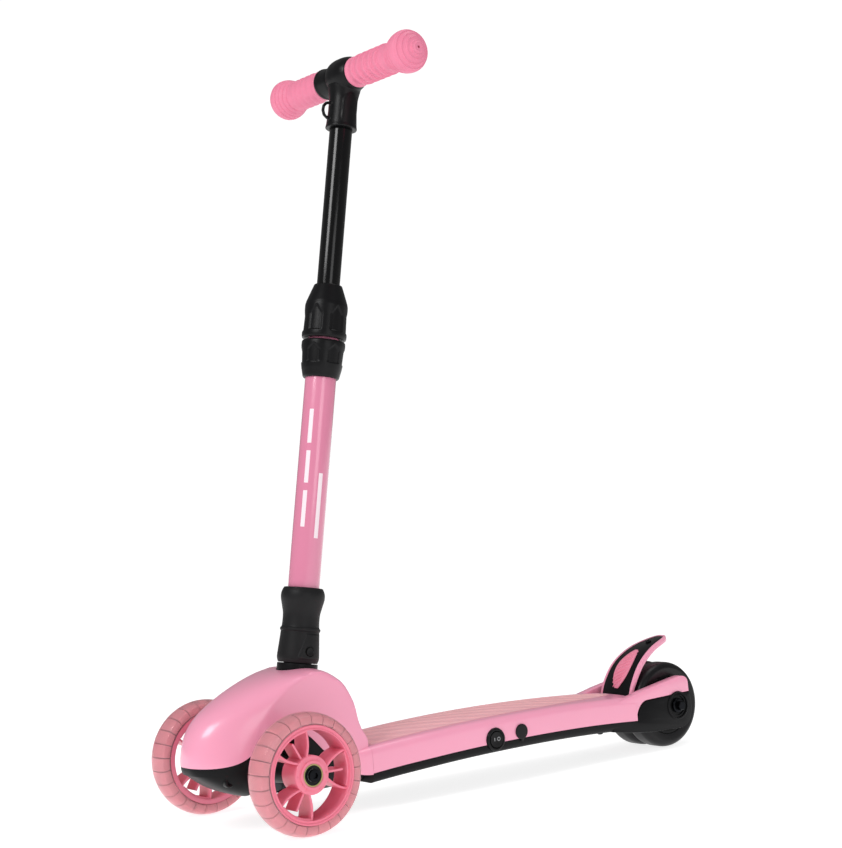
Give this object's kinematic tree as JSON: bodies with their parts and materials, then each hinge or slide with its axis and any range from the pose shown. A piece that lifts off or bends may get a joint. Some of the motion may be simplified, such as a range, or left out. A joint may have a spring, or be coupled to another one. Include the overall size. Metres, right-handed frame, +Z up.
{
  "type": "kick scooter",
  "caption": "Child's three-wheeled kick scooter: lean-to-steer front pair, arched light-up deck, twin rear wheels with foot brake, and a height-adjusting lift-off handlebar.",
  "frame": {"origin": "on the ground, under the middle of the overall box", "axes": "+X direction of travel, +Y the rider's left, +Z up"},
  "size_m": [0.6836, 0.27, 0.801],
  "materials": {
    "pink_shell": "glossy moulded plastic",
    "pink_paint": "glossy powder coat",
    "pink_grip": "soft matt rubber",
    "pink_core": "satin moulded nylon",
    "clear_tyre": "tinted clear polyurethane",
    "light_panel": "tinted light-passing panel with a fine moulded pattern",
    "black_plastic": "fine-textured moulded plastic",
    "black_rubber": "matt rubber",
    "black_tyre": "smooth polyurethane",
    "black_paint": "glossy black coat",
    "steel": "zinc plated",
    "black_steel": "black oxide",
    "cast_alloy": "as cast",
    "bearing_steel": "yellow zinc shield",
    "board": "opal diffuser and circuit board",
    "battery_wrap": "shrink wrap"
  },
  "bodies": {
    "chassis": {"deck_shell": "pink_shell", "deck_tray": "black_plastic", "light_panel": "light_panel", "light_guide": "board", "battery_pack": "battery_wrap", "control_board": "board", "front_cover": "pink_shell", "nose_housing": "black_plastic", "rear_housing": "black_plastic", "neck_casting": "cast_alloy", "socket_ring": "black_plastic", "steering_post": "steel", "kingpin": "black_steel", "kingpin_bush_rear": "black_rubber", "kingpin_bush_front": "black_rubber", "kingpin_nut": "steel", "switch_bezel": "black_plastic", "charge_socket": "black_plastic", "rear_axle_bolt": "black_steel", "rear_axle_nut": "black_steel", "rear_spacer_left": "steel", "rear_spacer_right": "steel", "brake_pin": "steel", "brake_spring": "steel"},
    "truck": {"truck_beam": "black_plastic", "axle_bolt_left": "black_steel", "axle_bolt_right": "black_steel"},
    "brake": {"brake_fender": "pink_shell", "brake_plate": "black_plastic", "brake_leaf": "pink_grip", "brake_screw": "black_steel"},
    "stem": {"base_sleeve": "black_rubber", "lower_tube": "pink_paint", "collar_lower": "black_plastic", "collet": "black_plastic"},
    "release": {"release_button": "black_plastic"},
    "collar": {"collar_nut": "black_plastic"},
    "handlebar": {"upper_tube": "black_paint", "guide_bush": "black_plastic", "t_head": "black_plastic", "handlebar_tube": "steel", "grip_left": "pink_grip", "grip_right": "pink_grip"},
    "rocker": {"switch_rocker": "black_plastic"},
    "port_flap": {"port_cover": "black_rubber"},
    "front_wheel_left": {"front_core_left": "pink_core", "front_tyre_left": "clear_tyre", "front_bearing_outer_left": "bearing_steel", "front_bearing_inner_left": "bearing_steel"},
    "rear_wheel_left": {"rear_core_left": "black_plastic", "rear_tyre_left": "black_tyre", "rear_bearing_left": "bearing_steel"},
    "front_wheel_right": {"front_core_right": "pink_core", "front_tyre_right": "clear_tyre", "front_bearing_outer_right": "bearing_steel", "front_bearing_inner_right": "bearing_steel"},
    "rear_wheel_right": {"rear_core_right": "black_plastic", "rear_tyre_right": "black_tyre", "rear_bearing_right": "bearing_steel"}
  },
  "joints": [
    {"name": "truck_lean", "type": "hinge", "parent": "chassis", "child": "truck", "pos_m": [0.265, 0, 0.066], "axis": [0.766, 0, 0.6428], "range_deg": [-10, 10], "stiffness_Nm_per_rad": 45},
    {"name": "front_left_spin", "type": "hinge", "parent": "truck", "child": "front_wheel_left", "pos_m": [0.265, 0, 0.06], "axis": [0, 1, 0], "continuous": true},
    {"name": "front_right_spin", "type": "hinge", "parent": "truck", "child": "front_wheel_right", "pos_m": [0.265, 0, 0.06], "axis": [0, 1, 0], "continuous": true},
    {"name": "rear_left_spin", "type": "hinge", "parent": "chassis", "child": "rear_wheel_left", "pos_m": [-0.292, 0, 0.05], "axis": [0, 1, 0], "continuous": true},
    {"name": "rear_right_spin", "type": "hinge", "parent": "chassis", "child": "rear_wheel_right", "pos_m": [-0.292, 0, 0.05], "axis": [0, 1, 0], "continuous": true},
    {"name": "brake_press", "type": "hinge", "parent": "chassis", "child": "brake", "pos_m": [-0.2325, 0, 0.06], "axis": [0, -1, 0], "range_deg": [0, 5], "stiffness_Nm_per_rad": 0.6, "springref_deg": -11.46},
    {"name": "stem_lift_off", "type": "slide", "parent": "chassis", "child": "stem", "axis": [-0.1736, 0, 0.9848], "range_m": [0, 0.1]},
    {"name": "release_button_press", "type": "slide", "parent": "stem", "child": "release", "axis": [0, -1, 0], "range_m": [0, 0.0014], "stiffness_N_per_m": 800},
    {"name": "collar_twist", "type": "hinge", "parent": "stem", "child": "collar", "pos_m": [0.214, 0, 0.1], "axis": [-0.1736, 0, 0.9848], "range_deg": [0, 60]},
    {"name": "height_slide", "type": "slide", "parent": "stem", "child": "handlebar", "axis": [-0.1736, 0, 0.9848], "range_m": [-0.145, 0]},
    {"name": "power_switch_rock", "type": "hinge", "parent": "chassis", "child": "rocker", "pos_m": [-0.007, 0.054, 0.051], "axis": [1, 0, 0], "range_deg": [-7, 7]},
    {"name": "port_cover_lift", "type": "hinge", "parent": "chassis", "child": "port_flap", "pos_m": [-0.044, 0.0556, 0.063], "axis": [1, 0, 0], "range_deg": [0, 95]}
  ]
}
